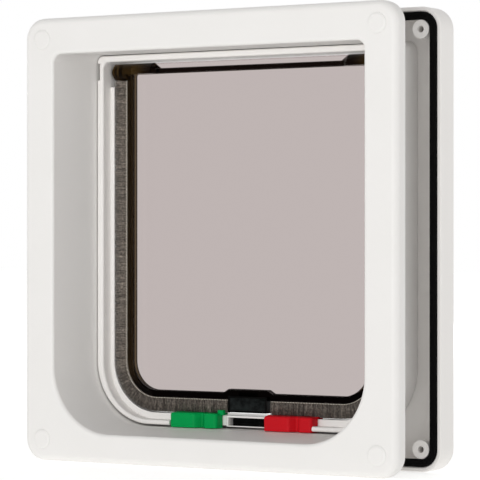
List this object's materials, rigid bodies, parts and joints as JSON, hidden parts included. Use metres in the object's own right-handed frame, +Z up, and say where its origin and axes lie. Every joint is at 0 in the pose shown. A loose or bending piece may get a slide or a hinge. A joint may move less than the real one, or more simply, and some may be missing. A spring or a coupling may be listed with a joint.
{
  "type": "cat flap",
  "caption": "Framed cat flap for a door: a smoked clear flap with a brush edge hangs in a white two-part tunnel frame, with a magnet catch and slide locks on its sill.",
  "frame": {"origin": "middle of the bottom, on the plane through the flanges' bottom edges and half-way through the depth", "axes": "+Z up, +X to the right seen from the room, +Y from the room side to the weather side"},
  "size_m": [0.1968, 0.054, 0.204],
  "materials": {
    "white_abs": "satin moulded ABS",
    "white_acetal": "plain moulded acetal",
    "smoked_clear": "polished clear moulding with a brown smoke tint",
    "grey_pile": "woven pile strip with a pale backing",
    "black_foam": "closed-cell foam",
    "black_abs": "gloss moulded",
    "ferrite": "sintered ferrite, dull dark grey",
    "green_abs": "gloss moulded",
    "red_abs": "gloss moulded"
  },
  "bodies": {
    "weather_half": {"outer_frame": "white_abs", "foam_gasket": "black_foam", "pivot_bush_left": "white_acetal", "pivot_bush_right": "white_acetal", "sill_magnet": "ferrite", "sill_cover": "white_abs"},
    "room_half": {"inner_frame": "white_abs", "screw_cap_top_left": "white_abs", "screw_cap_top_right": "white_abs", "screw_cap_bottom_left": "white_abs", "screw_cap_bottom_right": "white_abs"},
    "swing_flap": {"flap": "smoked_clear", "brush_left": "grey_pile", "brush_right": "grey_pile", "magnet_carrier": "black_abs", "flap_magnet": "ferrite"},
    "green_slide": {"green_lock": "green_abs"},
    "red_slide": {"red_lock": "red_abs"}
  },
  "joints": [
    {"name": "flap_swing", "type": "hinge", "parent": "weather_half", "child": "swing_flap", "pos_m": [0, 0.0135, 0.1805], "axis": [1, 0, 0], "range_deg": [-80, 80]},
    {"name": "green_lock_slide", "type": "slide", "parent": "weather_half", "child": "green_slide", "axis": [1, 0, 0], "range_m": [0, 0.009]},
    {"name": "red_lock_slide", "type": "slide", "parent": "weather_half", "child": "red_slide", "axis": [-1, 0, 0], "range_m": [0, 0.009]},
    {"name": "door_thickness_slide", "type": "slide", "parent": "weather_half", "child": "room_half", "axis": [0, -1, 0], "range_m": [0, 0.012]}
  ]
}
